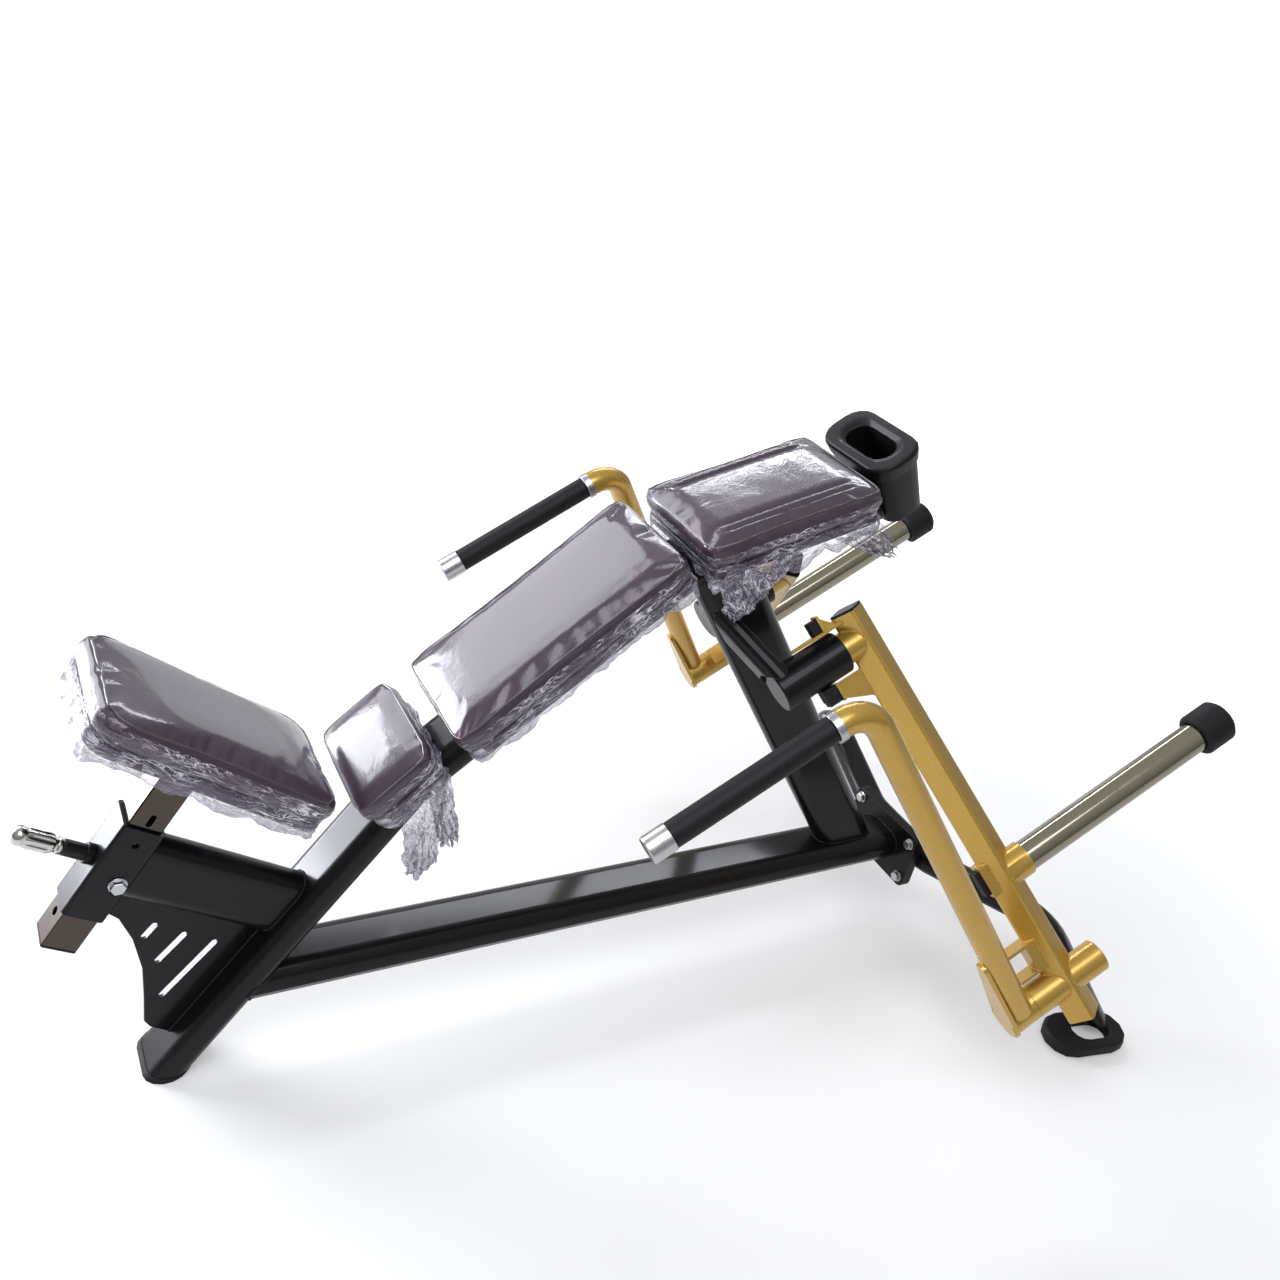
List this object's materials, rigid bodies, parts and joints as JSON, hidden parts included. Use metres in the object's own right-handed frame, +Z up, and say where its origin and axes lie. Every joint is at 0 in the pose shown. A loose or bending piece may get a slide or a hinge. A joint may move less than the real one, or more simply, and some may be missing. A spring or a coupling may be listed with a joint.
{
  "type": "plate-loaded incline fly machine",
  "caption": "Plate-loaded incline fly bench with tilted pivots, hinged swing handles, plate horns, padded rests and a pull-pin seat.",
  "frame": {"origin": "on the floor in the mirror plane, under the front leg's rubber shoe", "axes": "+X from the foot end to the head end, +Z up, +Y to the right of a person lying on the bench"},
  "size_m": [1.8356, 1.1824, 1.0411],
  "materials": {
    "frame_black": "semi-gloss powder coat",
    "satin_black": "moulded satin plastic",
    "gold": "metallic gold powder coat",
    "chrome": "polished plate",
    "steel": "bright zinc plate",
    "grip_rubber": "matt ribbed rubber",
    "black_rubber": "matt rubber",
    "leather": "glossy upholstery vinyl",
    "board": "black stained plywood"
  },
  "bodies": {
    "frame": {"front_leg": "frame_black", "leg_shoe": "black_rubber", "bench_rail": "frame_black", "head_rail": "frame_black", "base_rail": "frame_black", "upright": "frame_black", "rail_flange": "frame_black", "rear_flange": "frame_black", "flange_bolt_1": "steel", "flange_bolt_2": "steel", "flange_bolt_3": "steel", "flange_bolt_4": "steel", "rear_beam": "frame_black", "foot_loop_left": "black_rubber", "foot_loop_right": "black_rubber", "back_board": "board", "back_pad": "leather", "head_board": "board", "head_pad": "leather", "lumbar_board": "board", "lumbar_pad": "leather", "lumbar_wedge": "frame_black", "seat_arm": "frame_black", "seat_sleeve": "frame_black", "sleeve_bolt": "steel", "sleeve_gusset": "frame_black", "pin_barrel": "satin_black", "shoulder_tube_left": "frame_black", "shoulder_tube_right": "frame_black", "pivot_housing_left": "frame_black", "pivot_housing_right": "frame_black", "head_holder": "satin_black"},
    "lever_left": {"lever_arm_left": "gold", "lever_plug_left": "satin_black", "plate_horn_left": "chrome", "horn_cap_left": "black_rubber", "swing_buffer_left": "black_rubber", "lower_bumper_left": "black_rubber", "upper_bumper_left": "black_rubber"},
    "handle_left": {"handle_tube_left": "gold", "grip_bar_left": "steel", "grip_left": "grip_rubber"},
    "lever_right": {"lever_arm_right": "gold", "lever_plug_right": "satin_black", "plate_horn_right": "chrome", "horn_cap_right": "black_rubber", "swing_buffer_right": "black_rubber", "lower_bumper_right": "black_rubber", "upper_bumper_right": "black_rubber"},
    "handle_right": {"handle_tube_right": "gold", "grip_bar_right": "steel", "grip_right": "grip_rubber"},
    "seat": {"seat_post": "steel", "post_plug": "black_rubber", "seat_bracket": "frame_black", "seat_board": "board", "seat_pad": "leather"},
    "pull_pin": {"pull_pin": "chrome"}
  },
  "joints": [
    {"name": "lever_swing_left", "type": "hinge", "parent": "frame", "child": "lever_left", "pos_m": [0.95486, -0.1143, 0.66942], "axis": [-0.848, 0, -0.5299], "range_deg": [0, 45]},
    {"name": "handle_swing_left", "type": "hinge", "parent": "lever_left", "child": "handle_left", "pos_m": [1.22801, -0.52533, 0.23511], "axis": [0.848, 0, 0.5299], "range_deg": [0, 22]},
    {"name": "lever_swing_right", "type": "hinge", "parent": "frame", "child": "lever_right", "pos_m": [0.95486, 0.1143, 0.66942], "axis": [0.848, 0, 0.5299], "range_deg": [0, 45]},
    {"name": "handle_swing_right", "type": "hinge", "parent": "lever_right", "child": "handle_right", "pos_m": [1.22801, 0.52533, 0.23511], "axis": [-0.848, 0, -0.5299], "range_deg": [0, 22]},
    {"name": "seat_height", "type": "slide", "parent": "frame", "child": "seat", "axis": [0.5075, 0, 0.8616], "range_m": [-0.04, 0.03]},
    {"name": "pin_pull", "type": "slide", "parent": "frame", "child": "pull_pin", "axis": [-0.8616, 0, 0.5075], "range_m": [0, 0.012], "stiffness_N_per_m": 600}
  ]
}
